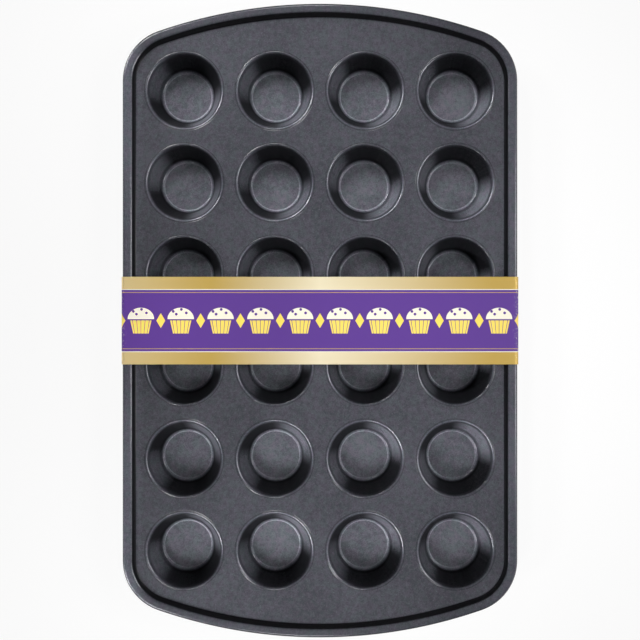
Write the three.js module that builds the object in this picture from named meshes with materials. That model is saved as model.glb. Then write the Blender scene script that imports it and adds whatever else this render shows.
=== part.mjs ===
// A mini muffin pan with 24 cups in six rows of four, pressed from one sheet of coated steel, whose outer edge
// is rolled round a steel wire. A printed card band is wrapped round its middle and slides off either end.
// Millimetres, +Z up, the pan's length along Y. The origin is the centre of the floor that it stands on.
import * as THREE from "three";

const degree = Math.PI / 180;

// The pressed sheet and its cups
const sheetThickness = 0.6;
const columnCount = 4;
const rowCount = 6;
const mouthRadius = 24.4; // where the cup's wall would meet the top of the deck, without its rounding
const floorRadius = 17.3; // where the wall would meet the floor
const cupDepth = 19; // from the top of the deck to the top of the cup's floor
const mouthRounding = 2.5;
const floorRounding = 2.5;
const landAcross = 7; // flat deck between neighbouring cups of a row
const landAlong = 8; // flat deck between neighbouring rows

// The rim: a low wall round the deck, a flat flange, and the edge rolled round the wire
const sideLand = 4.3; // flat deck between the outer columns and the long walls
const endLand = 6.1; // flat deck between a corner cup and the bowed end wall
const endArcRadius = 322;
const cornerRadius = 34.2;
const rimRise = 3.6; // top of the flange above the deck
const rimWallLean = 30 * degree; // away from upright
const footRounding = 2.6;
const shoulderRounding = 2.6;
const flangeWidth = 2.6;
const rollTurn = 270 * degree;
const wireDiameter = 2.2;
const wirePlay = 0.1;

// The card band
const cardThickness = 0.5;
const bandWidth = 57;
const bandPlay = 0.3; // between the card and what it goes round
const lapWidthShare = 0.75; // of the floor that is free between the two middle columns
const lapJogWidth = 2;
const lapSlit = 0.4;

// How finely the round shapes are divided
const cupSides = 20;
const mouthSteps = 2;
const floorSteps = 1;
const endSteps = 8;
const cornerSteps = 6;
const rimRoundingSteps = 2;
const rollSteps = 6;
const bandCornerSteps = 4;

const coating = new THREE.MeshStandardMaterial({ color: 0x55565d, roughness: 0.45, metalness: 0.7 });
const bareSteel = new THREE.MeshStandardMaterial({ color: 0xb4b6b8, roughness: 0.35, metalness: 1 });
const printedCard = new THREE.MeshStandardMaterial({ color: 0x664797, roughness: 0.5, metalness: 0 });

// A cup's wall leans by this slope from level, and its roundings touch the deck, the wall and the floor
const cupSlope = Math.atan2(cupDepth, mouthRadius - floorRadius);
const mouthCentre = new THREE.Vector2(mouthRadius + mouthRounding * Math.tan(cupSlope / 2), -mouthRounding);
const floorCentre = new THREE.Vector2(
  floorRadius - floorRounding * Math.tan(cupSlope / 2),
  floorRounding - cupDepth,
);
const lipRadius = mouthCentre.x; // where the rounding of the mouth meets the flat deck

// Cup centres
const pitchAcross = 2 * lipRadius + landAcross;
const pitchAlong = 2 * lipRadius + landAlong;
const columnX = (column) => (column - (columnCount - 1) / 2) * pitchAcross;
const rowY = (row) => ((rowCount - 1) / 2 - row) * pitchAlong;
const outerColumnX = columnX(columnCount - 1);
const endRowY = rowY(0);

// Heights: the card lies on the floor, the cups stand on the card, and the deck is carried by the cups
const cupFootZ = cardThickness + bandPlay;
const deckZ = cupFootZ + sheetThickness + cupDepth;

// The rim's roundings are held to what its rise has room for
const rimSlope = Math.PI / 2 - rimWallLean;
const mostRounding = rimRise / (2 * (1 - Math.cos(rimSlope)));
const footRadius = Math.min(footRounding, mostRounding);
const shoulderRadius = Math.min(shoulderRounding, mostRounding);
const wallDrop = rimRise - (footRadius + shoulderRadius) * (1 - Math.cos(rimSlope));
const wallRun = wallDrop / Math.tan(rimSlope);
const rollRadius = wireDiameter / 2 + wirePlay + sheetThickness;

// Insets are measured inwards from the pan's outer edge, heights from the top of the deck
const rollCentre = { inset: rollRadius, height: rimRise - rollRadius };
const shoulderCentre = { inset: rollRadius + flangeWidth, height: rimRise - shoulderRadius };
const footCentre = {
  inset: shoulderCentre.inset + (shoulderRadius + footRadius) * Math.sin(rimSlope) + wallRun,
  height: footRadius,
};

// The outline: straight sides, four corner arcs and two bowed ends that pass the corner cups by endLand
const halfWidth = outerColumnX + lipRadius + sideLand + footCentre.inset;
const cornerX = halfWidth - cornerRadius;
const endReach = endArcRadius - footCentre.inset - endLand - lipRadius;
const endArcY = endRowY - Math.sqrt(endReach ** 2 - outerColumnX ** 2);
const cornerAngle = Math.asin(cornerX / (endArcRadius - cornerRadius));
const cornerY = endArcY + (endArcRadius - cornerRadius) * Math.cos(cornerAngle);

// Points along an arc, at both its ends too, from one angle to another
function arcPoints(centreX, centreY, radius, fromAngle, toAngle, steps) {
  return Array.from({ length: steps + 1 }, (_, i) => {
    const angle = fromAngle + ((toAngle - fromAngle) * i) / steps;
    return new THREE.Vector2(centreX + radius * Math.cos(angle), centreY + radius * Math.sin(angle));
  });
}

// The pan's outline, anticlockwise from above, drawn in by an inset
function panOutline(inset) {
  const corner = cornerRadius - inset;
  const end = endArcRadius - inset;
  const quarter = Math.PI / 2;
  const half = [
    ...arcPoints(cornerX, cornerY, corner, 0, quarter - cornerAngle, cornerSteps),
    ...arcPoints(0, endArcY, end, quarter - cornerAngle, quarter + cornerAngle, endSteps).slice(1, -1),
    ...arcPoints(-cornerX, cornerY, corner, quarter + cornerAngle, Math.PI, cornerSteps),
  ];
  return [...half, ...half.map((p) => p.clone().negate())];
}

// A round hole's outline, with its points where a lathe of as many sides has them
function ringOutline(centreX, centreY, radius) {
  const first = -Math.PI / 2;
  return arcPoints(centreX, centreY, radius, first, first + 2 * Math.PI, cupSides).slice(0, -1);
}

const atHeight = (outline, z) => outline.map((p) => new THREE.Vector3(p.x, p.y, z));

// Collects triangles and makes them one geometry
class Skin {
  corners = [];

  // A strip between two loops of as many points. It faces outwards where `next` follows `loop` upwards.
  strip(loop, next) {
    loop.forEach((a, i) => {
      const j = (i + 1) % loop.length;
      this.corners.push(a, loop[j], next[j], a, next[j], next[i]);
    });
  }

  // A level face with holes, seen from above or from below
  level(outline, holes, z, seenFromAbove) {
    const points = atHeight([outline, ...holes].flat(), z);
    for (const [a, b, c] of THREE.ShapeUtils.triangulateShape(outline, holes)) {
      this.corners.push(points[a], ...(seenFromAbove ? [points[b], points[c]] : [points[c], points[b]]));
    }
  }

  geometry() {
    return new THREE.BufferGeometry().setFromPoints(this.corners);
  }
}

// Deck and rim

// Points of one side of the rim's section, from the deck's edge outwards to the end of the roll.
// The sheet's underside lies `depth` below its top, measured square to it.
function rimSection(depth) {
  const arc = (centre, radius, fromAngle, toAngle, steps) =>
    Array.from({ length: steps + 1 }, (_, i) => {
      const angle = fromAngle + ((toAngle - fromAngle) * i) / steps;
      return {
        inset: centre.inset + radius * Math.sin(angle),
        height: centre.height + radius * Math.cos(angle),
      };
    });
  return [
    ...arc(footCentre, footRadius + depth, Math.PI, Math.PI + rimSlope, rimRoundingSteps),
    ...arc(shoulderCentre, shoulderRadius - depth, rimSlope, 0, rimRoundingSteps),
    ...arc(rollCentre, rollRadius - depth, 0, -rollTurn, rollSteps),
  ];
}

function makeDeck() {
  const loopAt = ({ inset, height }) => atHeight(panOutline(inset), height);
  const top = rimSection(0).map(loopAt);
  const underside = rimSection(sheetThickness).map(loopAt);
  const holes = [];
  for (let row = 0; row < rowCount; row++) {
    for (let column = 0; column < columnCount; column++) {
      holes.push(ringOutline(columnX(column), rowY(row), lipRadius));
    }
  }
  const skin = new Skin();
  const deckOutline = panOutline(footCentre.inset);
  skin.level(deckOutline, holes, 0, true);
  skin.level(deckOutline, holes, -sheetThickness, false);
  for (const hole of holes) {
    const wound = [...hole].reverse();
    skin.strip(atHeight(wound, -sheetThickness), atHeight(wound, 0));
  }
  const section = [...underside, ...top.toReversed()];
  for (let i = 0; i + 1 < section.length; i++) {
    skin.strip(section[i], section[i + 1]);
  }
  const deck = new THREE.Mesh(skin.geometry(), coating);
  deck.name = "deck_and_rim";
  return deck;
}

// The wire fills the roll and goes right round the pan
function makeRimWire() {
  const wireSides = Math.round((rollSteps * 2 * Math.PI) / rollTurn);
  const loops = Array.from({ length: wireSides }, (_, i) => {
    const angle = (-2 * Math.PI * i) / wireSides;
    const inset = rollCentre.inset + (wireDiameter / 2) * Math.sin(angle);
    return atHeight(panOutline(inset), rollCentre.height + (wireDiameter / 2) * Math.cos(angle));
  });
  const skin = new Skin();
  loops.forEach((loop, i) => skin.strip(loops[(i + 1) % wireSides], loop));
  const wire = new THREE.Mesh(skin.geometry(), bareSteel);
  wire.name = "rim_wire";
  return wire;
}

// Cups: one revolved section, from the middle of the floor up to the lip and back under it
function makeCupGeometry() {
  const side = (depth) => [
    new THREE.Vector2(0, -cupDepth - depth),
    ...arcPoints(
      floorCentre.x,
      floorCentre.y,
      floorRounding + depth,
      -Math.PI / 2,
      -Math.PI / 2 + cupSlope,
      floorSteps,
    ),
    ...arcPoints(
      mouthCentre.x,
      mouthCentre.y,
      mouthRounding - depth,
      Math.PI / 2 + cupSlope,
      Math.PI / 2,
      mouthSteps,
    ),
  ];
  const section = [...side(sheetThickness), ...side(0).reverse()];
  return new THREE.LatheGeometry(section, cupSides).rotateX(Math.PI / 2);
}

function makeCups() {
  const geometry = makeCupGeometry();
  const cups = new THREE.Group();
  for (let row = 0; row < rowCount; row++) {
    for (let column = 0; column < columnCount; column++) {
      const cup = new THREE.Mesh(geometry, coating);
      cup.name = `cup_row${row + 1}_column${column + 1}`;
      cup.position.set(columnX(column), rowY(row), 0);
      cups.add(cup);
    }
  }
  return cups;
}

// Card band

// What the band is stretched over, as circles in a section across the pan: both rolls and both outer cups' feet
function bandSupports() {
  const footRadiusOutside = floorRounding + sheetThickness;
  const foot = { x: outerColumnX + floorCentre.x, z: cupFootZ + footRadiusOutside, radius: footRadiusOutside };
  const roll = { x: halfWidth - rollCentre.inset, z: deckZ + rollCentre.height, radius: rollRadius };
  return [foot, roll, { ...roll, x: -roll.x }, { ...foot, x: -foot.x }];
}

// The line stretched round circles at a distance, anticlockwise: each arc runs between the normals of the
// straight stretches beside it, and two circles' common outer tangent gives such a normal
function stretchedOutline(circles, distance) {
  const normalAngle = (a, b) => {
    const span = Math.hypot(b.x - a.x, b.z - a.z);
    return Math.atan2(b.z - a.z, b.x - a.x) - Math.acos((a.radius - b.radius) / span);
  };
  return circles.flatMap((circle, i) => {
    const before = circles[(i + circles.length - 1) % circles.length];
    const after = circles[(i + 1) % circles.length];
    const from = normalAngle(before, circle);
    let to = normalAngle(circle, after);
    while (to < from) to += 2 * Math.PI;
    return arcPoints(circle.x, circle.z, circle.radius + distance, from, to, bandCornerSteps);
  });
}

// The card's ends overlap under the pan, where the floor is free between the two middle columns, and are glued.
// The outer end stops at a slit. The inner end comes from beside it, jogs up and runs inside.
function makeBand() {
  const freeFloor = pitchAcross - 2 * floorCentre.x;
  const lapEnd = (freeFloor * lapWidthShare) / 2;
  const jogStart = lapEnd + lapSlit;
  const jogEnd = jogStart + lapJogWidth;
  const outer = [
    ...stretchedOutline(bandSupports(), bandPlay + cardThickness),
    new THREE.Vector2(lapEnd, 0),
    new THREE.Vector2(lapEnd, cardThickness),
    new THREE.Vector2(jogStart, cardThickness),
    new THREE.Vector2(jogEnd, 0),
  ];
  const inner = [
    ...stretchedOutline(bandSupports(), bandPlay),
    new THREE.Vector2(-lapEnd, cardThickness),
    new THREE.Vector2(-lapEnd, 2 * cardThickness),
    new THREE.Vector2(jogStart, 2 * cardThickness),
    new THREE.Vector2(jogEnd, cardThickness),
  ];
  const section = new THREE.Shape(outer);
  section.holes.push(new THREE.Path(inner));
  const geometry = new THREE.ExtrudeGeometry(section, { depth: bandWidth, bevelEnabled: false });
  geometry.translate(0, 0, -bandWidth / 2).rotateX(Math.PI / 2);
  const band = new THREE.Mesh(geometry, printedCard);
  band.name = "card_band";
  return band;
}

const pan = new THREE.Group();
pan.position.z = deckZ;
pan.add(makeDeck(), makeRimWire(), makeCups());

const muffinPan = new THREE.Group();
muffinPan.add(pan, makeBand());

export default muffinPan;
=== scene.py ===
import math

import bmesh
import bpy
import numpy as np
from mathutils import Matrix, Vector


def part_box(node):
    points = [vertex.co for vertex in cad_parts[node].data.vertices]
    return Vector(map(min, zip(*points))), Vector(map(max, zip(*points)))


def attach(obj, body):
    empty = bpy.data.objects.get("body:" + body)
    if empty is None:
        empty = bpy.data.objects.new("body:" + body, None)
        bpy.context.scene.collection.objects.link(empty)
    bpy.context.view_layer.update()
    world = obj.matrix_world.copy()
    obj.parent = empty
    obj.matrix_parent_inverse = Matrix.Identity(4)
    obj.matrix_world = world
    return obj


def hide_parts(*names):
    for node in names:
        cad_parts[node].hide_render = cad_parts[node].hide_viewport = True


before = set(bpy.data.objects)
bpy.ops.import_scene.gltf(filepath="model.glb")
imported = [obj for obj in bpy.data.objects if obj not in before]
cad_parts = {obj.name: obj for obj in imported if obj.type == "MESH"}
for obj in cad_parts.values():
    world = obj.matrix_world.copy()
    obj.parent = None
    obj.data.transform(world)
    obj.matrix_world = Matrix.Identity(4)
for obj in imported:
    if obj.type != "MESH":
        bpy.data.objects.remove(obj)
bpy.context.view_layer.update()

bpy.context.scene.view_settings.view_transform = "Standard"
mm = 0.001
turn = 2 * math.pi


# Camera: straight above the pan, as far up as the photograph's perspective asks
cameraLook = {
    "height": 619 * mm,         # above the top of the rim
    "lens": 53.45,              # millimetres
    "sensor": 36.0,             # millimetres across
    "aside": (0.0, 0.4 * mm),   # along X and Y, from the pan's middle
}


def addCamera(rimTop):
    # It looks straight down from its height above the top of the rim
    data = bpy.data.cameras.new("photoCamera")
    data.lens = cameraLook["lens"]
    data.sensor_width = cameraLook["sensor"]
    camera = bpy.data.objects.new("photoCamera", data)
    camera.location = (*cameraLook["aside"], rimTop + cameraLook["height"])
    bpy.context.scene.collection.objects.link(camera)
    bpy.context.scene.camera = camera


# Shader maths
class Socket:
    # A node's output. An expression on it adds Math nodes, and node() adds any other node.
    def __init__(self, tree, output=None):
        self.tree = tree
        self.output = output

    def node(self, kind, settings=None, inputs=None, take=0):
        # settings are set first, then each input gets its value or its link
        made = self.tree.nodes.new(kind)
        for name, value in (settings or {}).items():
            setattr(made, name, value)
        for name, value in (inputs or {}).items():
            if isinstance(value, Socket):
                self.tree.links.new(value.output, made.inputs[name])
            else:
                made.inputs[name].default_value = value
        return Socket(self.tree, made.outputs[take] if made.outputs else None)

    def other(self, name):
        # another output of the same node
        return Socket(self.tree, self.output.node.outputs[name])

    def maths(self, operation, first, *rest):
        # one Math node on up to three values
        return self.node("ShaderNodeMath", {"operation": operation}, dict(enumerate((first, *rest))))

    def __add__(self, value):
        return self.maths("ADD", self, value)

    def __radd__(self, value):
        return self.maths("ADD", value, self)

    def __sub__(self, value):
        return self.maths("SUBTRACT", self, value)

    def __rsub__(self, value):
        return self.maths("SUBTRACT", value, self)

    def __mul__(self, value):
        return self.maths("MULTIPLY", self, value)

    def __rmul__(self, value):
        return self.maths("MULTIPLY", value, self)

    def __truediv__(self, value):
        return self.maths("DIVIDE", self, value)

    def __pow__(self, value):
        return self.maths("POWER", self, value)

    def size(self):
        # without its sign
        return self.maths("ABSOLUTE", self)

    def sign(self):
        # 1 above zero, and -1 below it
        return self.maths("SIGN", self)

    def fraction(self):
        # what is left over the whole number below
        return self.maths("FRACT", self)

    def whole(self, low, high):
        # the whole number below, kept from low to high
        return self.node(
            "ShaderNodeClamp", {}, {"Value": self.maths("FLOOR", self), "Min": low, "Max": high}
        )

    def larger(self, value):
        # the larger of the two
        return self.maths("MAXIMUM", self, value)

    def smaller(self, value):
        # the smaller of the two
        return self.maths("MINIMUM", self, value)

    def ramp(self, low, high, start=0.0, end=1.0):
        # start below low, end above high, and a smooth rise between them
        return self.node(
            "ShaderNodeMapRange",
            {"interpolation_type": "SMOOTHSTEP"},
            {"Value": self, "From Min": low, "From Max": high, "To Min": start, "To Max": end},
        )

    def noise(self, scale, detail=2.0, roughness=0.5, seed=0.0):
        # the socket is a vector; the result is from 0 to 1
        return self.node(
            "ShaderNodeTexNoise",
            {"noise_dimensions": "4D"},
            {"Vector": self, "W": seed, "Scale": scale, "Detail": detail, "Roughness": roughness},
        )

    def stretched(self, factors):
        # each part of a vector or a colour times its own factor
        return self.node("ShaderNodeVectorMath", {"operation": "MULTIPLY"}, {0: self, 1: factors})

    def between(self, first, second):
        # the socket is the share of the second colour
        return self.node("ShaderNodeMix", {"data_type": "RGBA"}, {0: self, 6: first, 7: second}, take=2)

    def bump(self, depth, strength):
        # the socket is a height from 0 to 1, and 1 stands for the depth
        return self.node("ShaderNodeBump", {}, {"Height": self, "Distance": depth, "Strength": strength})


def startMaterial(name):
    # An empty material, and a socket to build on
    material = bpy.data.materials.new(name)
    material.use_nodes = True
    material.node_tree.nodes.clear()
    return material, Socket(material.node_tree)


def endMaterial(start, inputs):
    # One Principled shader with these inputs is the material's surface
    shader = start.node("ShaderNodeBsdfPrincipled", {}, inputs)
    start.node("ShaderNodeOutputMaterial", {}, {"Surface": shader})


def grey(level, blue=1.0):
    # Red and green are the level, and blue is the level times its own factor
    return (level, level, level * blue, 1.0)


# Light: a pale floor, a sky that is brightest at the horizon, softer overhead and on the right, and nearly
# dark on the left and at both ends, and soft spot lamps over each half of the pan
lightLook = {
    "floorHalf": 9.0,
    "floorColour": (0.93, 0.93, 0.93, 1.0),
    "floorGlow": 0.91,          # share of the floor that is plain white to the camera and in reflections
    "glowRise": (0.3, 1.6),     # metres from the pan's middle
    "skyHorizon": 1.4,
    "skyOverhead": 0.43,
    "skyLeft": 0.1,
    "skyRight": 0.9,
    "skyEnds": 0.02,
    "sideRise": (0.5, 0.85),    # of a direction's X, from the ends' strength to a side's
    "overheadRise": (0.84, 0.93),   # of its Z
    "horizonFall": (0.10, 0.26),
    "aim": 0.135,               # along the pan from its middle, at both sides of it
    "distance": 0.9,
    "radius": 0.1,
    "coneBlend": 0.3,
    "lamps": (                  # degrees round from the right, degrees up, watts, degrees of the cone
        ("keyLamp", 125, 48, 12.5, 21),
        ("lowLamp", 148, 33, 15.5, 19),
        ("fillLamp", 0, 48, 4.0, 50),
        ("rightLamp", -16, 35, 5.0, 20),
        ("endLamp", 95, 48, 5.0, 20),
    ),
}


def addFloor():
    # A matt square. Camera, glossy and transmission rays see it mixed with plain white by the share of the
    # glow, which rises to 1 far from the pan. From below it is clear, so that undersides can be looked at.
    corners = lightLook["floorHalf"] * np.array([(-1, -1, 0), (1, -1, 0), (1, 1, 0), (-1, 1, 0)])
    mesh = bpy.data.meshes.new("floor")
    mesh.from_pydata(corners.tolist(), [], [(0, 1, 2, 3)])
    floor = bpy.data.objects.new("floor", mesh)
    bpy.context.scene.collection.objects.link(floor)
    material, start = startMaterial("paleFloor")
    matt = start.node("ShaderNodeBsdfDiffuse", {}, {"Color": lightLook["floorColour"]})
    glow = start.node("ShaderNodeEmission", {}, {"Color": grey(1.0), "Strength": 1.0})
    path = start.node("ShaderNodeLightPath")
    seen = path.larger(path.other("Is Glossy Ray")).larger(path.other("Is Transmission Ray"))
    place = start.node("ShaderNodeTexCoord").other("Object")
    away = start.node("ShaderNodeVectorMath", {"operation": "LENGTH"}, {0: place}).other("Value")
    share = away.ramp(*lightLook["glowRise"], lightLook["floorGlow"], 1.0)
    mixed = start.node("ShaderNodeMixShader", {}, {0: seen * share, 1: matt, 2: glow})
    below = start.node("ShaderNodeNewGeometry").other("Backfacing")
    clear = start.node("ShaderNodeBsdfTransparent")
    sided = start.node("ShaderNodeMixShader", {}, {0: below, 1: mixed, 2: clear})
    start.node("ShaderNodeOutputMaterial", {}, {"Surface": sided})
    mesh.materials.append(material)


def addSky():
    # Strength is that of the side a direction leans to, or the ends' where it leans to neither. It goes over
    # to the overhead value as the direction nears straight up, and to the horizon's as it nears level. The
    # camera's own rays see it at 1.
    look = lightLook
    world = bpy.data.worlds.new("softSky")
    bpy.context.scene.world = world
    world.use_nodes = True
    world.node_tree.nodes.clear()
    start = Socket(world.node_tree)
    direction = start.node("ShaderNodeTexCoord").other("Generated")
    x = start.node("ShaderNodeSeparateXYZ", {}, {0: direction})
    right = x.ramp(*look["sideRise"], 0.0, look["skyRight"])
    left = (0 - x).ramp(*look["sideRise"], 0.0, look["skyLeft"])
    low = look["skyEnds"] + right + left
    z = x.other("Z")
    strength = low + z.ramp(*look["overheadRise"]) * (look["skyOverhead"] - low)
    strength = strength + z.ramp(*look["horizonFall"], 1.0, 0.0) * (look["skyHorizon"] - strength)
    seen = start.node("ShaderNodeLightPath")
    strength = strength + seen * (1 - strength)
    background = start.node("ShaderNodeBackground", {}, {"Color": grey(1.0), "Strength": strength})
    start.node("ShaderNodeOutputWorld", {}, {"Surface": background})


def addLamp(name, half, turned, climb, power, cone):
    # The lamp stands at its distance from where it aims, in the direction that turned and climb give. Half
    # is 1 over the upper half of the pan, and -1 over the lower, where the direction is mirrored.
    level = math.cos(climb)
    towards = Vector((math.cos(turned) * level, half * math.sin(turned) * level, math.sin(climb)))
    data = bpy.data.lights.new(name, "SPOT")
    data.shadow_soft_size = lightLook["radius"]
    data.spot_size = cone
    data.spot_blend = lightLook["coneBlend"]
    data.energy = power
    lamp = bpy.data.objects.new(name, data)
    lamp.location = Vector((0.0, half * lightLook["aim"], deckHigh.z)) + lightLook["distance"] * towards
    lamp.rotation_euler = towards.to_track_quat("Z", "Y").to_euler()
    bpy.context.scene.collection.objects.link(lamp)


def addLamps():
    # The lower half's lamps mirror the upper half's
    for half in (1, -1):
        for name, turned, climb, power, cone in lightLook["lamps"]:
            addLamp(name, half, math.radians(turned), math.radians(climb), power, math.radians(cone))


deckLow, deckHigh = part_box("deck_and_rim")
addCamera(deckHigh.z)
addFloor()
addSky()
addLamps()
print("camera, floor and light are set")


# Surfaces from grids of points
mergeDistance = 0.002 * mm
panSharp = math.radians(40)     # edges that bend more than this stay sharp


def arcRun(centre, radius, start, stop, steps):
    # Points on a circle in the plane of a section, at even angles from start to stop
    angle = np.linspace(start, stop, steps + 1)
    return np.stack([centre[0] + radius * np.cos(angle), centre[1] + radius * np.sin(angle)], axis=1)


def joinRuns(runs, fewest, longest=math.inf):
    # The runs one after another. The straight line from each to the next has even steps: the fewest, or more
    # of them where they would be longer than the longest.
    line = [runs[0]]
    for run in runs[1:]:
        gap = np.linalg.norm(run[0] - line[-1][-1])
        steps = max(fewest, math.ceil(gap / longest))
        share = np.linspace(0, 1, steps + 1)[1:-1, None]
        line += [line[-1][-1] * (1 - share) + run[0] * share, run]
    return np.concatenate(line)


def gridFaces(rows, columns, first=0):
    # Quads between neighbouring rows, closed round the columns. They face up where the rows go outwards and
    # the columns anticlockwise.
    r, c = np.meshgrid(np.arange(rows - 1), np.arange(columns), indexing="ij")
    after = (c + 1) % columns
    corners = [r * columns + c, (r + 1) * columns + c, (r + 1) * columns + after, r * columns + after]
    return first + np.stack(corners, axis=-1).reshape(-1, 4)


def makePiece(name, grids, material):
    # Each grid is rows by columns by 3, closed round its columns. Points that meet are merged.
    points, faces, count = [], [], 0
    for grid in grids:
        rows, columns = grid.shape[:2]
        faces.append(gridFaces(rows, columns, count))
        points.append(grid.reshape(-1, 3))
        count += rows * columns
    mesh = bpy.data.meshes.new(name)
    mesh.from_pydata(np.concatenate(points).tolist(), [], np.concatenate(faces).tolist())
    welded = bmesh.new()
    welded.from_mesh(mesh)
    bmesh.ops.remove_doubles(welded, verts=welded.verts, dist=mergeDistance)
    welded.to_mesh(mesh)
    welded.free()
    mesh.shade_smooth()
    mesh.set_sharp_from_angle(angle=panSharp)
    piece = bpy.data.objects.new(name, mesh)
    bpy.context.scene.collection.objects.link(piece)
    mesh.materials.append(material)
    return piece


# Sheet, cups and rim: the pressed shape, with fine roundings. The places come from the imported parts.
pressLook = {
    "sheet": 0.6 * mm,
    "cupDepth": 19.0 * mm,
    "mouthRadius": 24.4 * mm,
    "floorRadius": 17.3 * mm,
    "mouthRounding": 1.6 * mm,
    "floorRounding": 2.5 * mm,
    "lipRadius": 26.53 * mm,       # where a cup meets the deck
    "grooveRadius": 25.98 * mm,    # of the fine pressed line round each mouth
    "grooveHalf": 0.45 * mm,
    "grooveDepth": 0.1 * mm,
    "grooveSteps": 8,
    "roundSteps": 96,              # round each cup
    "roundingSteps": 9,
    "straightSteps": 6,
    "cellSteps": 4,                # from a cup's lip out to the lines midway between cups
}
rimLook = {
    "endArcRadius": 322.0 * mm,
    "cornerRadius": 34.2 * mm,
    "wallLean": math.radians(30),
    "footRounding": 2.6 * mm,
    "shoulderRounding": 2.6 * mm,
    "flangeWidth": 2.6 * mm,
    "wireRadius": 1.1 * mm,
    "wirePlay": 0.1 * mm,
    "rollTurn": math.radians(270),
    "rollSteps": 22,
    "straightSteps": 3,
    "wireSides": 16,
}

sheet = pressLook["sheet"]
deckTop = deckLow.z + sheet
rimRise = deckHigh.z - deckTop
halfWidth = deckHigh.x
halfLength = deckHigh.y
cupRows, cupColumns = 6, 4
cupNames = [[f"cup_row{r + 1}_column{c + 1}" for c in range(cupColumns)] for r in range(cupRows)]
cupBoxes = np.array([[[*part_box(name)[0], *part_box(name)[1]] for name in line] for line in cupNames])
cupCentres = (cupBoxes[:, :, 0:2] + cupBoxes[:, :, 3:5]) / 2
pitchX = float(cupCentres[0, 1, 0] - cupCentres[0, 0, 0])
pitchY = float(cupCentres[0, 0, 1] - cupCentres[1, 0, 1])

# A cup's wall leans by this slope from level, and its roundings touch the deck, the wall and the floor
cupSlope = math.atan2(pressLook["cupDepth"], pressLook["mouthRadius"] - pressLook["floorRadius"])
mouthTangent = pressLook["mouthRounding"] * math.tan(cupSlope / 2)
floorTangent = pressLook["floorRounding"] * math.tan(cupSlope / 2)
lipRadius = pressLook["lipRadius"]


def ringAngles():
    # Even angles once round, from an eighth of a turn on, where a cell of the deck has its first corner
    return turn / 8 + turn * np.arange(pressLook["roundSteps"]) / pressLook["roundSteps"]


def cupSide(depth):
    # One side of the sheet, from the middle of the floor out to the lip, at a depth under the inner side. The
    # groove sinks by half its depth times 1 + cosine, once round from one of its edges to the other.
    look, steps, quarter = pressLook, pressLook["roundingSteps"], turn / 4
    floorCentre = (look["floorRadius"] - floorTangent, look["floorRounding"] - look["cupDepth"])
    mouthCentre = (look["mouthRadius"] + mouthTangent, -look["mouthRounding"])
    share = np.linspace(-1, 1, look["grooveSteps"] + 1)
    sunk = look["grooveDepth"] / 2 * (1 + np.cos(share * turn / 2))
    groove = np.stack([look["grooveRadius"] + share * look["grooveHalf"], -depth - sunk], axis=1)
    return joinRuns(
        [
            np.array([[0.0, -look["cupDepth"] - depth]]),
            arcRun(floorCentre, look["floorRounding"] + depth, -quarter, cupSlope - quarter, steps),
            arcRun(mouthCentre, look["mouthRounding"] - depth, quarter + cupSlope, quarter, steps),
            groove,
            np.array([[lipRadius, -depth]]),
        ],
        look["straightSteps"],
    )


def revolve(line, centre, base):
    # Each point of the line goes round the upright axis through centre
    angle = ringAngles()
    grid = np.empty((len(line), len(angle), 3))
    grid[:, :, 0] = centre[0] + line[:, :1] * np.cos(angle)
    grid[:, :, 1] = centre[1] + line[:, :1] * np.sin(angle)
    grid[:, :, 2] = base + line[:, 1:]
    return grid


def outlineLoop(inset, steps):
    # Points and outward normals round the outline, drawn in by inset, anticlockwise from the middle of the
    # right side. Between two stations they lie at even distances. A station is where a line midway between
    # two rows or two columns of cups meets the outline, or the middle of a corner.
    corner = rimLook["cornerRadius"] - inset
    end = rimLook["endArcRadius"] - inset
    reach = rimLook["endArcRadius"] - rimLook["cornerRadius"]
    cornerX = halfWidth - rimLook["cornerRadius"]
    cornerAngle = math.asin(cornerX / reach)
    endY = halfLength - rimLook["endArcRadius"]
    cornerY = endY + reach * math.cos(cornerAngle)
    cornerLength = corner * (turn / 4 - cornerAngle)
    total = cornerY + cornerLength + end * cornerAngle
    stations = [
        0.0,
        pitchY,
        2 * pitchY,
        cornerY + cornerLength / 2,
        total - end * math.asin(pitchX / end),
        total,
    ]
    share = np.arange(steps) / steps
    run = np.concatenate([a + (b - a) * share for a, b in zip(stations, stations[1:])] + [[total]])
    onCorner = np.clip((run - cornerY) / corner, 0, turn / 4 - cornerAngle)
    onEnd = np.clip((run - cornerY - cornerLength) / end, 0, cornerAngle)
    facing = onCorner + onEnd
    normal = np.stack([np.cos(facing), np.sin(facing)], axis=1)
    side = np.stack([np.full_like(run, halfWidth - inset), run], axis=1)
    bend = np.array([cornerX, cornerY]) + corner * normal
    bow = np.array([0.0, endY]) + end * normal
    place = np.where((run < cornerY)[:, None], side, np.where((onEnd > 0)[:, None], bow, bend))
    quarter = np.concatenate([place, normal], axis=1)
    left = quarter[:0:-1] * [-1, 1, -1, 1]
    upper = np.concatenate([quarter[:-1], left])
    loop = np.concatenate([upper, -upper])
    return loop[:, :2], loop[:, 2:]


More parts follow.
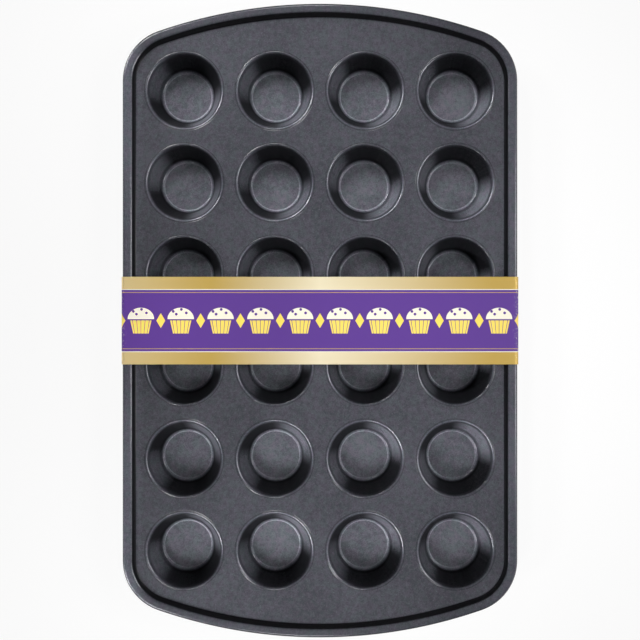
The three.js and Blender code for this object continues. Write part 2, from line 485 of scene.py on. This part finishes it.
def rimProfile():
    # The rim's section as distance outwards from the deck's edge and height above the deck: foot, leaning
    # wall, shoulder, flange and roll, first along the top and then back along the underside
    rounding, shoulder = rimLook["footRounding"], rimLook["shoulderRounding"]
    slope = turn / 4 - rimLook["wallLean"]
    rollRadius = rimLook["wireRadius"] + rimLook["wirePlay"] + sheet
    drop = rimRise - (rounding + shoulder) * (1 - math.cos(slope))
    shoulderOut = (rounding + shoulder) * math.sin(slope) + drop / math.tan(slope)
    rollOut = shoulderOut + rimLook["flangeWidth"]
    steps = pressLook["roundingSteps"]

    def side(depth):
        # One side of the sheet, at a depth under its top
        down = -turn / 4
        return joinRuns(
            [
                arcRun((0.0, rounding), rounding + depth, down, down + slope, steps),
                arcRun((shoulderOut, rimRise - shoulder), shoulder - depth, -down + slope, -down, steps),
                arcRun(
                    (rollOut, rimRise - rollRadius),
                    rollRadius - depth,
                    -down,
                    -down - rimLook["rollTurn"],
                    rimLook["rollSteps"],
                ),
            ],
            rimLook["straightSteps"],
        )

    wireCentre = (rollOut, rimRise - rollRadius)
    return np.concatenate([side(0.0), side(sheet)[::-1]]), wireCentre, rollOut + rollRadius


def carried(profile, loop, normals):
    # Each point of the profile goes round the loop, out along the loop's normals and up from the deck
    grid = np.empty((len(profile), len(loop), 3))
    grid[:, :, :2] = loop + profile[:, 0, None, None] * normals
    grid[:, :, 2] = deckTop + profile[:, 1, None]
    return grid


def deckCells(loop):
    # One grid round each cup. Its rows go in along the underside, from the lines midway between cups or from
    # the deck's edge to the hole, and out again along the top, each at an even share of the way.
    side = pressLook["roundSteps"] // 4
    stations = loop[::side]
    lattice = np.empty((cupRows + 1, cupColumns + 1, 2))
    lattice[:, :, 0] = (np.arange(cupColumns + 1) - cupColumns / 2) * pitchX
    lattice[:, :, 1] = (cupRows / 2 - np.arange(cupRows + 1))[:, None] * pitchY
    topLeft, count = cupRows // 2 + cupColumns, len(stations)
    acrossLines, downLines = np.arange(cupColumns + 1), np.arange(cupRows + 1)
    lattice[0, :] = stations[topLeft - acrossLines]
    lattice[:, 0] = stations[topLeft + downLines]
    lattice[-1, :] = stations[topLeft + cupRows + acrossLines]
    lattice[:, -1] = stations[(count + cupRows // 2 - downLines) % count]
    share = np.arange(side)[:, None] / side
    out = np.linspace(0, 1, pressLook["cellSteps"] + 1)
    angle = ringAngles()
    ring = lipRadius * np.stack([np.cos(angle), np.sin(angle)], axis=1)
    cells = []
    for r in range(cupRows):
        for c in range(cupColumns):
            corners = [lattice[r, c + 1], lattice[r, c], lattice[r + 1, c], lattice[r + 1, c + 1]]
            onEdge = [r == 0, c == 0, r == cupRows - 1, c == cupColumns - 1]
            firsts = [
                topLeft - 1 - c,
                topLeft + r,
                topLeft + cupRows + c,
                (count + cupRows // 2 - 1 - r) % count,
            ]
            border = [
                loop[side * first : side * (first + 1)] if edge else a + (b - a) * share
                for a, b, edge, first in zip(corners, corners[1:] + corners[:1], onEdge, firsts)
            ]
            hole = cupCentres[r, c] + ring
            flat = hole + out[:, None, None] * (np.concatenate(border) - hole)
            grid = np.empty((2 * len(out), len(angle), 3))
            grid[:, :, :2] = np.concatenate([flat[::-1], flat])
            grid[: len(out), :, 2] = deckTop - sheet
            grid[len(out) :, :, 2] = deckTop
            cells.append(grid)
    return cells


# Dark non-stick coating. Its patterns read the place from the middle of the nearest cup.
coatingLook = {
    "colour": (0.038, 0.039, 0.048, 1.0),
    "paler": (0.070, 0.071, 0.084, 1.0),
    "palerFrom": (0.38, 0.62),     # of the three noises together
    "parts": (0.3, 0.4, 0.3),      # of patches, grain and mottle in them
    "flake": (0.16, 0.16, 0.18, 1.0),
    "flakeFrom": (0.6, 0.76),
    "flakeShare": 0.4,
    "cooler": (0.93, 1.02, 1.02, 1.0),
    "warmer": (1.05, 0.98, 1.08, 1.0),
    "warmerFrom": (0.38, 0.62),
    "lessBlue": 0.06,              # on walls and floors
    "metallic": 0.3,
    "specular": 0.15,              # of the ground under the coat
    "roughness": 0.5,
    "roughnessPatches": 0.10,
    "roughnessGrain": 0.16,
    "coat": 0.8,
    "coatGrain": 0.5,
    "wallCoat": 0.15,              # shares of the coat that are left on these faces
    "floorCoat": 0.3,
    "rimCoat": 0.15,
    "coatRoughness": 0.19,
    "coatIor": 1.65,
    "patches": (26.0, 3.0),        # noises: scale, detail, roughness and seed
    "mottle": (1 / (2.4 * mm), 2.0, 0.6, 9.0),
    "grain": (1 / (0.8 * mm), 3.0, 0.65),
    "flakes": (1.7 / (0.8 * mm), 1.0, 0.5, 5.0),
    "tint": (1 / (5.0 * mm), 2.0, 0.5, 4.0),
    "streaks": (16.0, 4.0, 0.6),   # without a seed, because each cup has its own
    "cupSeeds": (7.3, 3.1),        # for each column and for each row
    "bumpDepth": 0.03 * mm,
    "bumpStrength": 0.7,
    "bumpStreaks": 0.6,
}
# Where each kind of face lies: the distances that its edge fades over
faceLook = {
    "mouth": 2.0 * mm,                     # out from the mouth's radius
    "wallTop": (1.0 * mm, 4.0 * mm),       # depths under the deck
    "wallFoot": (16.5 * mm, 18.6 * mm),
    "floor": (18.0 * mm, 18.9 * mm),
    "rimFoot": (-0.42 * mm, -0.1 * mm),
    "rimTop": (0.4 * mm, 0.85 * mm),       # depths under the top of the rim
    "flange": (0.2 * mm, 1.0 * mm),
    "endShift": 0.3 * mm,                  # by which the painted shade on the rim's wall reaches higher at both ends
    "ends": (15.0 * mm, 35.0 * mm),        # in from both ends of the pan
    "left": (6.5 * mm, 14.5 * mm),         # in from its left edge
}
# Painted shade and painted light: how much darker or paler each kind of face is than the deck
shadeLook = {
    # painted shade: cup walls darker than the deck
    "wall": 0.28,
    "streaks": 0.3,
    # painted shade in the recess of the rim's inner wall
    "rim": 0.12,
    # painted light on the flange
    "flange": 1.3,
    "flangeEnds": -0.3,            # painted shade, added to the flange's at both ends
    "left": 0.4,                   # painted light, added along the left edge
    # painted light: cup floors paler than the deck
    "floor": 2.75,
    "floorFade": 0.26,             # share of it lost towards the pan's nearer end: a painted shadow of the wall
    "floorFadeHalf": 14.0 * mm,
    "paintedWallLight": (                   # painted light on each wall's lit side: degrees round, added shade, cosines from and to
        (320, 3.6, 0.55, 1.0),
        (158, 1.6, 0.75, 1.0),
    ),
    "lines": (                     # painted dark rings round a cup: radius, half width, added shade
        (26.0 * mm, 0.5 * mm, -0.4),
        (23.4 * mm, 0.6 * mm, -0.2),
        (18.3 * mm, 1.0 * mm, -0.5),
    ),
    # painted highlight round the floor's rounding, and on the mouth's rounding
    "floorLine": (15.9 * mm, 0.5 * mm, 1.05),
    "lip": (24.8 * mm, 0.6 * mm, 0.6),
    "lipPaintedLight": 0.6,             # how much of the walls' painted light the lip's painted highlight takes
    "lipShadow": (24.1 * mm, 1.4 * mm, -0.65),
    "shadowFacing": 68,            # degrees round, where the lip's shadow lies
    "shadowRise": (0.3, 0.9),      # cosines
    "lipLost": 0.8,                # share of the lip's painted highlight that is lost there
    "floorLineLost": 0.6,
}


def placeInCup(parts):
    # X and y from the middle of the nearest cup: what is left over the whole pitches, in metres. The distance
    # is the root of their squares' sum. The seed is the column and the row, each times its own number.
    columns = parts / pitchX + cupColumns / 2
    rows = parts.other("Y") / pitchY + cupRows / 2
    column, row = columns.whole(0, cupColumns - 1), rows.whole(0, cupRows - 1)
    x = (columns - column - 0.5) * pitchX
    y = (rows - row - 0.5) * pitchY
    columnSeed, rowSeed = coatingLook["cupSeeds"]
    radius = ((x * x + y * y) ** 0.5).larger(mm / 10)
    return x, y, radius, column * columnSeed + row * rowSeed


def panFaces(parts, radius):
    # 1 on a kind of face and 0 off it: products of ramps over the distance from the cup's middle, the depth
    # under the deck or under the top of the rim, and the distance in from the pan's edges
    look = faceLook
    depth = deckTop - parts.other("Z")
    rimDepth = depth + rimRise
    mouth = pressLook["mouthRadius"]
    inCup = radius.ramp(mouth, mouth + look["mouth"], 1.0, 0.0)
    fromEnd = halfLength - parts.other("Y").size()
    atEnd = fromEnd.ramp(*look["ends"], 1.0, 0.0)
    underTop = (rimDepth + atEnd * look["endShift"]).ramp(*look["rimTop"])
    return {
        "wall": inCup * depth.ramp(*look["wallTop"]) * depth.ramp(*look["wallFoot"], 1.0, 0.0),
        "floor": inCup * depth.ramp(*look["floor"]),
        "rim": depth.ramp(*look["rimFoot"], 1.0, 0.0) * underTop,
        "flange": rimDepth.ramp(*look["flange"], 1.0, 0.0),
        "end": atEnd,
        "left": (parts + halfWidth).ramp(*look["left"], 1.0, 0.0),
    }


def faceShades(faces, x, y, radius, streaks):
    # The painted shade and painted light of every face, as a factor of the deck's, and the factor of the thin
    # painted rings in it. A wall's painted light grows with the cosine between the direction round the cup
    # and each lit direction, a floor's falls as a painted shadow towards the pan's nearer end, and a ring
    # adds its own painted highlight or shade near its radius. Y runs to the pan's nearer end, so the lower
    # half mirrors the upper.
    look = shadeLook

    def facing(degrees):
        # The cosine between the direction from the cup's middle and one that is so many degrees round
        angle = math.radians(degrees)
        return x / radius * math.cos(angle) + y / radius * math.sin(angle)

    def ring(middle, half, more):
        # more at the middle radius, down to nothing at half the width away from it
        return (radius - middle).size().ramp(0.0, half, more, 0.0)

    # painted light on each wall's lit side, from the cosines to the lit directions
    paintedWallLight = 0.0
    for degrees, more, low, high in look["paintedWallLight"]:
        paintedWallLight = facing(degrees).ramp(low, high, 0.0, more) + paintedWallLight
    # painted highlight on the lip and round the floor, and painted shadow on the lip's shaded side
    inShadow = facing(look["shadowFacing"]).ramp(*look["shadowRise"])
    lip = ring(*look["lip"]) * (1 + paintedWallLight * look["lipPaintedLight"]) * (1 - inShadow * look["lipLost"])
    lines = 1 + lip + ring(*look["lipShadow"]) * inShadow
    lines = lines + ring(*look["floorLine"]) * (1 - inShadow * look["floorLineLost"])
    # painted shade in the dark rings
    for line in look["lines"]:
        lines = lines + ring(*line)
    wall = look["wall"] + (streaks - 0.5) * look["streaks"] + paintedWallLight
    fade = look["floorFadeHalf"]
    # painted light on the floor, with a painted shadow towards the pan's nearer end
    floor = look["floor"] * y.ramp(-fade, fade, 1.0, 1 - look["floorFade"])
    flange = look["flange"] + faces["end"] * look["flangeEnds"]
    shade = 1 + faces["wall"] * (wall - 1) + faces["floor"] * (floor - 1)
    shade = shade + faces["rim"] * (look["rim"] - 1) + faces["flange"] * (flange - 1)
    return shade * lines * (1 + faces["left"] * look["left"]), lines


def makeCoating():
    # Three noises added make the share of the paler colour, flakes show above a threshold, a slow noise
    # tints it cooler or warmer, and the whole is multiplied by the painted shade and painted light of each
    # face.
    # Streaks are a noise of the direction round the cup alone, so they run down a wall.
    look = coatingLook
    material, start = startMaterial("darkCoating")
    place = start.node("ShaderNodeTexCoord").other("Object")
    parts = start.node("ShaderNodeSeparateXYZ", {}, {0: place})
    x, y, radius, cupSeed = placeInCup(parts)
    around = start.node("ShaderNodeCombineXYZ", {}, {0: x / radius, 1: y / radius})
    streaks = around.noise(*look["streaks"], cupSeed)
    faces = panFaces(parts, radius)
    shade, lines = faceShades(faces, x, y * parts.other("Y").sign(), radius, streaks)

    patches = place.noise(*look["patches"])
    mottle = place.noise(*look["mottle"])
    grain = place.noise(*look["grain"])
    flakes = place.noise(*look["flakes"]).ramp(*look["flakeFrom"])
    ofPatches, ofGrain, ofMottle = look["parts"]
    paler = patches * ofPatches + grain * ofGrain + mottle * ofMottle
    colour = paler.ramp(*look["palerFrom"]).between(look["colour"], look["paler"])
    colour = (flakes * look["flakeShare"]).between(colour, look["flake"])
    warmer = place.noise(*look["tint"]).ramp(*look["warmerFrom"])
    colour = colour.stretched(warmer.between(look["cooler"], look["warmer"]))
    # the painted shade and painted light of each face multiply the colour
    blue = shade * (1 - (faces["wall"] + faces["floor"]) * look["lessBlue"])
    colour = colour.stretched(start.node("ShaderNodeCombineXYZ", {}, {0: shade, 1: shade, 2: blue}))

    roughness = look["roughness"] + (patches - 0.5) * look["roughnessPatches"]
    roughness = roughness + (grain - 0.5 + faces["wall"] * (streaks - 0.5)) * look["roughnessGrain"]
    coat = (look["coat"] + (grain - 0.5) * look["coatGrain"]) * lines.smaller(1.0)
    for name, left in (("wall", look["wallCoat"]), ("floor", look["floorCoat"]), ("rim", look["rimCoat"])):
        coat = coat * (1 + faces[name] * (left - 1))
    height = grain + faces["wall"] * streaks * look["bumpStreaks"]
    endMaterial(
        start,
        {
            "Base Color": colour,
            "Metallic": look["metallic"],
            "Specular IOR Level": look["specular"],
            "Specular Tint": grey(0.0),
            "Roughness": roughness,
            "Coat Weight": coat,
            "Coat Roughness": look["coatRoughness"],
            "Coat IOR": look["coatIor"],
            "Normal": height.bump(look["bumpDepth"], look["bumpStrength"]),
        },
    )
    return material


coating = makeCoating()


def makePan():
    # The rim's section goes round the outline, cells fill the deck, and each cup is a section revolved
    profile, wireCentre, footInset = rimProfile()
    loop, normals = outlineLoop(footInset, pressLook["roundSteps"] // 4)
    deck = makePiece("coatedDeckAndRim", [carried(profile, loop, normals), *deckCells(loop)], coating)
    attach(deck, "pan")
    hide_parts("deck_and_rim")
    section = np.concatenate([cupSide(0.0), cupSide(sheet)[::-1]])
    for names, centres in zip(cupNames, cupCentres):
        for name, centre in zip(names, centres):
            cup = makePiece(f"coated_{name}", [revolve(section, centre, deckTop)], coating)
            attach(cup, "pan")
            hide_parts(name)
    return loop, normals, wireCentre


deckLoop, deckNormals, wireCentre = makePan()
print("pan and cups are made")


# Steel wire in the roll
wireLook = {
    "colour": (0.45, 0.46, 0.47, 1.0),
    "stained": grey(0.22),
    "stain": (60.0, 3.0),          # noises: scale, detail and roughness
    "stainFrom": (0.4, 0.7),
    "stainShare": 0.5,
    "roughness": 0.34,
    "marks": (900.0, 3.0, 0.6),
    "roughnessMarks": 0.2,
    "bumpDepth": 0.01 * mm,
    "bumpStrength": 0.5,
}


def makeWire():
    # A circle about the roll's centre goes round the outline. A slow noise above a threshold stains the
    # steel, and a fine one adds to its roughness, or takes from it, and makes its bumps.
    look = wireLook
    section = arcRun(wireCentre, rimLook["wireRadius"], turn, 0.0, rimLook["wireSides"])
    material, start = startMaterial("drawnSteel")
    place = start.node("ShaderNodeTexCoord").other("Object")
    marks = place.noise(*look["marks"])
    stain = place.noise(*look["stain"]).ramp(*look["stainFrom"]) * look["stainShare"]
    endMaterial(
        start,
        {
            "Base Color": stain.between(look["colour"], look["stained"]),
            "Metallic": 1.0,
            "Roughness": look["roughness"] + (marks - 0.5) * look["roughnessMarks"],
            "Normal": marks.bump(look["bumpDepth"], look["bumpStrength"]),
        },
    )
    wire = makePiece("steelRimWire", [carried(section, deckLoop, deckNormals)], material)
    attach(wire, "pan")
    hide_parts("rim_wire")


makeWire()
print("wire is made")


# Card band: one strip of card, wrapped round the rolls and the outer cups' feet, with a glued lap below
bandLook = {
    "card": 0.5 * mm,
    "play": 0.3 * mm,
    "pull": 0.08 * mm,             # of the card towards the rolls, so that it stays inside the solid's facets
    "lift": 0.002 * mm,            # of the lap off the floor
    "lapShare": 0.75,              # of the free floor between the middle columns
    "slit": 0.4 * mm,
    "jog": 2.0 * mm,
    "glue": 0.02 * mm,
    "sag": 0.7 * mm,               # of the top between the rolls
    "ripple": 0.25,                # share of the sag that comes and goes across the band
    "foldSteps": 10,
    "foldRadius": 2.0 * mm,        # bends as tight as this crack the ink most
    "sharp": math.radians(50),     # edges that bend more than this stay sharp
    "step": 2.0 * mm,              # along the strip, at most
    "acrossSteps": 28,
}


def bandPath():
    # The middle of the card, from its inner end in the lap round under the right feet, over the top and
    # back to its outer end: arcs round four circles, and the straight lines that touch two of them
    cardMiddle = bandLook["play"] + bandLook["card"] / 2
    footRounding = pressLook["floorRounding"] + sheet
    footX = float(cupCentres[0, -1, 0]) + pressLook["floorRadius"] - floorTangent
    rollRadius = rimLook["wireRadius"] + rimLook["wirePlay"] + sheet
    footZ = deckTop - pressLook["cupDepth"] - sheet
    foot = np.array([footX, footZ + footRounding])
    roll = np.array([halfWidth - rollRadius, deckHigh.z - rollRadius])
    span = roll - foot
    lean = math.atan2(span[1], span[0]) - math.acos((footRounding - rollRadius) / np.linalg.norm(span))
    down, up, steps = -turn / 4, turn / 4, bandLook["foldSteps"]
    right = [
        arcRun(foot, footRounding + cardMiddle, down, lean, steps),
        arcRun(roll, rollRadius + cardMiddle - bandLook["pull"], lean, up, steps),
    ]
    left = [run[::-1] * [-1, 1] for run in reversed(right)]
    lapEnd = bandLook["lapShare"] * (pitchX / 2 - pressLook["floorRadius"] + floorTangent)
    low = bandLook["card"] / 2 + bandLook["lift"]
    high = low + bandLook["card"] + bandLook["glue"]
    jogStart = lapEnd + bandLook["slit"]
    ends = [np.array([[-lapEnd, high]]), np.array([[jogStart, high], [jogStart + bandLook["jog"], low]])]
    return joinRuns([*ends, *right, *left, np.array([[lapEnd, low]])], 1, bandLook["step"])


def makeBandMesh(material):
    # The path moves half a card out and in along its normals, and that section runs across the band. The top
    # sinks by the sag times the square of 1 - (x / half width)^2, more in the middle of the band than at its
    # edges: the ripple times the cosine of the place across adds to it or takes from it.
    path = bandPath()
    tangent = np.gradient(path, axis=0)
    tangent /= np.linalg.norm(tangent, axis=1, keepdims=True)
    outward = np.stack([tangent[:, 1], -tangent[:, 0]], axis=1)
    along = np.concatenate([[0.0], np.cumsum(np.linalg.norm(np.diff(path, axis=0), axis=1))])
    low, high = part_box("card_band")
    across = np.linspace(low.y, high.y, bandLook["acrossSteps"] + 1)
    topMiddle = along[(path[:, 1] > deckHigh.z) & (np.abs(path[:, 0]) < bandLook["step"])].mean()
    # The loop of a section goes across the outer side and back across the inner side
    offsets = np.concatenate([np.full_like(across, 0.5), np.full_like(across, -0.5)]) * bandLook["card"]
    places = np.concatenate([across, across[::-1]])
    grid = np.empty((len(path), len(places), 3))
    grid[:, :, 0] = path[:, :1] + outward[:, :1] * offsets
    grid[:, :, 1] = places
    grid[:, :, 2] = path[:, 1:] + outward[:, 1:] * offsets
    onTop = np.clip(1 - (grid[:, :, 0] / halfWidth) ** 2, 0, 1) * (grid[:, :, 2] > deckHigh.z)
    rippled = 1 + bandLook["ripple"] * np.cos(grid[:, :, 1] / (high.y - low.y) * turn)
    grid[:, :, 2] -= bandLook["sag"] * onTop**2 * rippled
    rows, columns = grid.shape[:2]
    faces = gridFaces(rows, columns)
    half = columns // 2
    ends = np.array([[c, c + 1, columns - 2 - c, columns - 1 - c] for c in range(half - 1)])
    faces = np.concatenate([faces, ends[:, ::-1], (rows - 1) * columns + ends])
    mesh = bpy.data.meshes.new("printedCardBand")
    mesh.from_pydata(grid.reshape(-1, 3).tolist(), [], faces.tolist())
    corners = faces.reshape(-1)
    # The map holds metres along the strip from the middle of the top to the left, and metres across it
    spot = np.stack([along[corners // columns] - topMiddle, grid.reshape(-1, 3)[corners, 1]], axis=1)
    stripMap = mesh.uv_layers.new(name="strip")
    stripMap.data.foreach_set("uv", spot.astype(np.float32).ravel())
    outer = (faces % columns < half).all(axis=1) & (np.arange(len(faces)) < len(faces) - 2 * len(ends))
    printed = mesh.attributes.new("printed", "FLOAT", "CORNER")
    printed.data.foreach_set("value", np.repeat(outer, 4).astype(np.float32))
    # A fold is how fast the tangent turns, times the tightest radius that counts
    bend = np.linalg.norm(np.gradient(tangent, axis=0), axis=1) / np.maximum(np.gradient(along), mm / 10)
    folded = np.clip(bend * bandLook["foldRadius"], 0, 1)
    fold = mesh.attributes.new("fold", "FLOAT", "POINT")
    fold.data.foreach_set("value", np.repeat(folded, columns).astype(np.float32))
    mesh.shade_smooth()
    mesh.set_sharp_from_angle(angle=bandLook["sharp"])
    mesh.materials.append(material)
    band = bpy.data.objects.new("printedCardBand", mesh)
    bpy.context.scene.collection.objects.link(band)
    return band


# Print on the card
printLook = {
    "purple": (0.098, 0.038, 0.250, 1.0),
    "gold": (0.53, 0.36, 0.09, 1.0),
    "paleGold": (0.90, 0.80, 0.56, 1.0),
    "cream": (0.86, 0.80, 0.66, 1.0),
    "yellow": (0.87, 0.66, 0.12, 1.0),
    "core": (0.62, 0.58, 0.50, 1.0),
    "paleCore": grey(0.68, 0.94),
    "softEdge": 0.06 * mm,         # half of it
    "goldWidth": 8.0 * mm,         # of the stripe along each edge
    "sheenLeft": 71.0 * mm,        # from the pale middle of the gold's painted sheen to its dark place on the left
    "sheenRight": 113.0 * mm,      # and on the right
    "sheenPower": 1.2,
    "paleLeft": 0.5,               # painted light: how much paler the ink is at the left end
    "paleFrom": (20.0 * mm, 135.0 * mm),
    "creamLine": 0.5 * mm,
    "fineLine": 0.35 * mm,
    "fineLineIn": 2.2 * mm,        # from the gold stripe
    "motifPitch": 25.9 * mm,
    "cupHeight": 8.5 * mm,
    "cupTop": 6.9 * mm,            # half the width of a printed cup
    "cupFoot": 5.0 * mm,
    "pleats": 2.5,                 # in half of it
    "pleatLine": (0.05, 0.09),     # of a pleat, where the dark line between two fades out
    "domeReach": 8.6 * mm,
    "domeHeight": 7.4 * mm,
    "domeGap": 0.9 * mm,
    "berries": ((-3.6, 4.0), (2.9, 3.2), (-0.4, 6.3), (4.9, 5.0)),   # millimetres across and up a dome
    "berrySize": 0.9 * mm,
    "lozengeSize": 2.9 * mm,
    "lozengeFlat": 0.6,            # half width over half height
    "fibre": (1400.0, 3.0, 0.6),   # noises: scale, detail and roughness
    "fibreStretch": (1.0, 0.35, 1.0),
    "fibreFrom": (0.3, 0.7),
    "cracks": (700.0, 3.0, 0.7),
    "cracksFrom": (0.52, 0.66),
    "cracksShare": 0.6,
    "waves": (90.0, 2.0),
    "wavesHeight": 2,              # over the fibres'
    "roughness": 0.85,
    "inkSmoother": 0.40,
    "goldSmoother": 0.08,
    "goldMetallic": 0.35,
    "specular": 0.3,
    "bumpDepth": 0.03 * mm,
    "bumpStrength": 0.4,
}


def inside(distance):
    # 1 where a printed shape's distance is under zero, with a crisp soft edge
    return distance.ramp(-printLook["softEdge"], printLook["softEdge"], 1.0, 0.0)


def printedMuffins(u, v):
    # Shares of yellow and of cream. A paper cup lies between two leaning lines, with dark lines between its
    # pleats. A dome is half an ellipse less its round berries. A lozenge is where |u| and a share of |v| add
    # up to less than its size. Each repeats at the pitch.
    look = printLook
    pitch = look["motifPitch"]
    a = ((u / pitch).fraction() - 0.5) * pitch
    b = v + (look["domeHeight"] + look["domeGap"] - look["cupHeight"]) / 2
    halfCup = look["cupTop"] + b * ((look["cupTop"] - look["cupFoot"]) / look["cupHeight"])
    pleat = ((a / halfCup * look["pleats"] + 0.5).fraction() - 0.5).size()
    cup = inside(a.size() - halfCup) * inside(b) * inside(-look["cupHeight"] - b)
    cup = cup * pleat.ramp(*look["pleatLine"])
    rise = b - look["domeGap"]
    domeShape = ((a / look["domeReach"]) ** 2 + (rise / look["domeHeight"]) ** 2) ** 0.5
    dome = inside((domeShape - 1) * look["domeHeight"]) * inside(0 - rise)
    for across, up in look["berries"]:
        berry = ((a - across * mm) ** 2 + (rise - up * mm) ** 2) ** 0.5
        dome = dome * (1 - inside(berry - look["berrySize"]))
    between = ((u / pitch + 0.5).fraction() - 0.5) * pitch
    lozenge = inside(between.size() + v.size() * look["lozengeFlat"] - look["lozengeSize"])
    return cup.larger(lozenge), dome


def printedInk(u, v, fromGold):
    # Yellow and cream shapes on purple, fine lines, and gold outside them. The gold has a painted sheen:
    # palest at the middle of the top, darker evenly to both sides, and pale again past its dark place on the
    # left. U runs to the left, and the ink is multiplied by a factor that rises with it, painted light that
    # makes the left end paler.
    look = printLook
    gold = inside(fromGold)
    creamLine = inside((fromGold - look["creamLine"] / 2).size() - look["creamLine"] / 2)
    fineLine = inside((fromGold - look["fineLineIn"]).size() - look["fineLine"] / 2)
    # painted sheen on the gold
    pale = 1 - u.larger(0.0) / look["sheenLeft"] + u.smaller(0.0) / look["sheenRight"]
    pale = pale.larger(u / (2 * look["sheenLeft"]) - 0.5).larger(0.0)
    goldColour = (pale ** look["sheenPower"]).between(look["gold"], look["paleGold"])
    yellow, cream = printedMuffins(u, v)
    ink = cream.between(yellow.between(look["purple"], look["yellow"]), look["cream"])
    ink = fineLine.between(ink, look["gold"])
    ink = creamLine.between(gold.between(ink, goldColour), look["cream"])
    return ink.stretched(1 + u.ramp(*look["paleFrom"]) * look["paleLeft"]), gold


def makePrint():
    # Plain card inside and at the cut edges, and ink outside, which a noise cracks where the card folds.
    # Roughness is the card's, less where ink or gold lies on it.
    look = printLook
    material, start = startMaterial("printedCard")
    place = start.node("ShaderNodeTexCoord").other("Object")
    strip = start.node("ShaderNodeUVMap", {"uv_map": "strip"})
    u = start.node("ShaderNodeSeparateXYZ", {}, {0: strip})
    v = u.other("Y")
    printed = start.node("ShaderNodeAttribute", {"attribute_name": "printed"}).other("Fac")
    fold = start.node("ShaderNodeAttribute", {"attribute_name": "fold"}).other("Fac")
    low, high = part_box("card_band")
    ink, gold = printedInk(u, v, (high.y - low.y) / 2 - look["goldWidth"] - v.size())
    fibre = place.stretched(look["fibreStretch"]).noise(*look["fibre"])
    cracked = fold * place.noise(*look["cracks"]).ramp(*look["cracksFrom"]) * look["cracksShare"]
    ink = cracked.between(ink, look["core"])
    core = fibre.ramp(*look["fibreFrom"]).between(look["core"], look["paleCore"])
    roughness = look["roughness"] - printed * (look["inkSmoother"] + gold * look["goldSmoother"])
    height = fibre + place.noise(*look["waves"]) * look["wavesHeight"]
    endMaterial(
        start,
        {
            "Base Color": printed.between(core, ink),
            "Metallic": printed * gold * look["goldMetallic"],
            "Roughness": roughness,
            "Specular IOR Level": look["specular"],
            "Normal": height.bump(look["bumpDepth"], look["bumpStrength"]),
        },
    )
    return material


cardBand = makeBandMesh(makePrint())
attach(cardBand, "band")
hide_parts("card_band")
print("card band is made")
